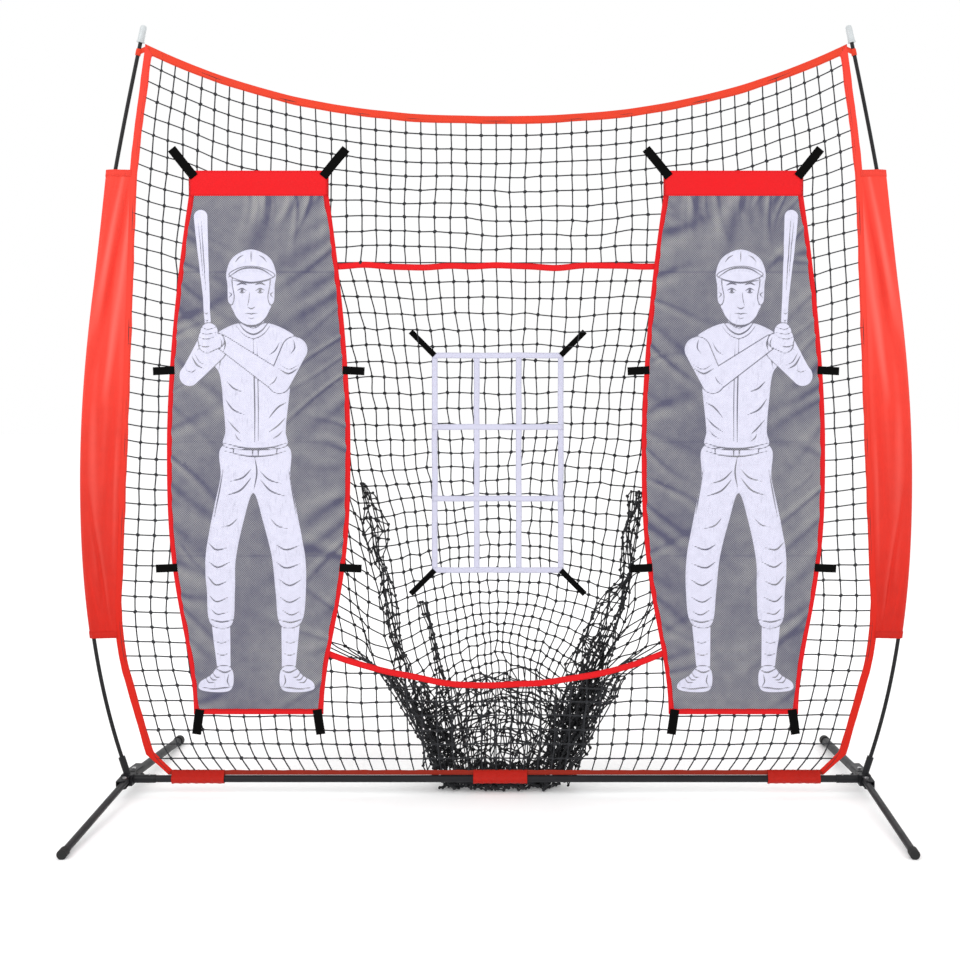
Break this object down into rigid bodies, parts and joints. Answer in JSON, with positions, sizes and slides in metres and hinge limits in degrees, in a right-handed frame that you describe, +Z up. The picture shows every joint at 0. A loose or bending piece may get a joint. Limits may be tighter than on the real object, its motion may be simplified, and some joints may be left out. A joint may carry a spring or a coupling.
{
  "type": "pitching target net",
  "caption": "Free-standing practice net: bent side poles on a folding steel foot frame, square mesh with a ball pocket, two batter panels and a strike zone.",
  "frame": {"origin": "on the ground, under the middle of the crossbar", "axes": "X runs along the crossbar, +X to the thrower's right; +Y goes back from the thrower, through the net; +Z is up"},
  "size_m": [2.3798, 1.0555, 2.1985],
  "materials": {
    "black_steel": "satin black powder coat with light scuffs",
    "zinc_steel": "zinc plated",
    "pole_black": "satin black resin-coated fibreglass rod",
    "rubber": "matt",
    "tip_plastic": "translucent white, slightly glossy",
    "net_cord": "knotted polyester cord, dull black",
    "tape_red": "woven orange-red edge tape",
    "sleeve_red": "woven red polyester with a soft sheen",
    "band_red": "woven red webbing",
    "panel_mesh": "perforated grey polyester mesh with a white print",
    "strap_black": "black hook-and-loop webbing",
    "zone_white": "pale flat webbing"
  },
  "bodies": {
    "root": {"crossbar_left": "black_steel", "crossbar_right": "black_steel", "hub_left": "black_steel", "hub_right": "black_steel", "leg_bolts": "zinc_steel", "leg_nuts": "zinc_steel", "button_spring_left": "zinc_steel", "button_spring_right": "zinc_steel", "pole_lower_left": "pole_black", "pole_lower_right": "pole_black", "pole_middle_left": "pole_black", "pole_middle_right": "pole_black", "pole_upper_left": "pole_black", "pole_upper_right": "pole_black", "pole_ferrules": "zinc_steel", "tip_caps": "tip_plastic", "corner_loops": "tape_red", "net_top": "net_cord", "net_left": "net_cord", "net_right": "net_cord", "net_bottom": "net_cord", "edge_tape_top": "tape_red", "edge_tape_left": "tape_red", "edge_tape_right": "tape_red", "edge_tape_bottom": "tape_red", "mouth_band_top": "band_red", "mouth_band_left": "band_red", "mouth_band_right": "band_red", "mouth_band_bottom": "band_red", "pocket_back": "net_cord", "pocket_left": "net_cord", "pocket_right": "net_cord", "pocket_floor": "net_cord", "sleeve_left": "sleeve_red", "sleeve_right": "sleeve_red", "bar_wraps": "sleeve_red"},
    "front_leg_left_body": {"front_leg_left": "black_steel", "front_foot_left": "rubber"},
    "rear_leg_left_body": {"rear_leg_left": "black_steel", "rear_foot_left": "rubber"},
    "bar_button_left_body": {"bar_button_left": "zinc_steel"},
    "batter_left_body": {"batter_cloth_left": "panel_mesh", "batter_binding_left": "band_red", "batter_band_left": "band_red", "batter_straps_left": "strap_black"},
    "front_leg_right_body": {"front_leg_right": "black_steel", "front_foot_right": "rubber"},
    "rear_leg_right_body": {"rear_leg_right": "black_steel", "rear_foot_right": "rubber"},
    "bar_button_right_body": {"bar_button_right": "zinc_steel"},
    "batter_right_body": {"batter_cloth_right": "panel_mesh", "batter_binding_right": "band_red", "batter_band_right": "band_red", "batter_straps_right": "strap_black"},
    "strike_zone_body": {"strike_zone": "zone_white", "strike_zone_straps": "strap_black"}
  },
  "joints": [
    {"name": "front_leg_left_fold", "type": "hinge", "parent": "root", "child": "front_leg_left_body", "pos_m": [-1.05, -0.0385, 0.044], "axis": [0, -0.0665, 0.9978], "range_deg": [0, 90]},
    {"name": "rear_leg_left_fold", "type": "hinge", "parent": "root", "child": "rear_leg_left_body", "pos_m": [-1.05, 0.0455, 0.044], "axis": [0, -0.0612, -0.9981], "range_deg": [0, 90]},
    {"name": "bar_button_left_press", "type": "slide", "parent": "root", "child": "bar_button_left_body", "axis": [0, 0, -1], "range_m": [0, 0.0048], "stiffness_N_per_m": 400, "springref_m": -0.004, "deforming": ["button_spring_left"]},
    {"name": "batter_left_lift_off", "type": "slide", "parent": "root", "child": "batter_left_body", "axis": [0, -1, 0], "range_m": [0, 0.3]},
    {"name": "front_leg_right_fold", "type": "hinge", "parent": "root", "child": "front_leg_right_body", "pos_m": [1.05, -0.0385, 0.044], "axis": [0, 0.0665, -0.9978], "range_deg": [0, 90]},
    {"name": "rear_leg_right_fold", "type": "hinge", "parent": "root", "child": "rear_leg_right_body", "pos_m": [1.05, 0.0455, 0.044], "axis": [0, 0.0612, 0.9981], "range_deg": [0, 90]},
    {"name": "bar_button_right_press", "type": "slide", "parent": "root", "child": "bar_button_right_body", "axis": [0, 0, -1], "range_m": [0, 0.0048], "stiffness_N_per_m": 400, "springref_m": -0.004, "deforming": ["button_spring_right"]},
    {"name": "batter_right_lift_off", "type": "slide", "parent": "root", "child": "batter_right_body", "axis": [0, -1, 0], "range_m": [0, 0.3]},
    {"name": "strike_zone_lift_off", "type": "slide", "parent": "root", "child": "strike_zone_body", "axis": [0, -1, 0], "range_m": [0, 0.2]}
  ]
}
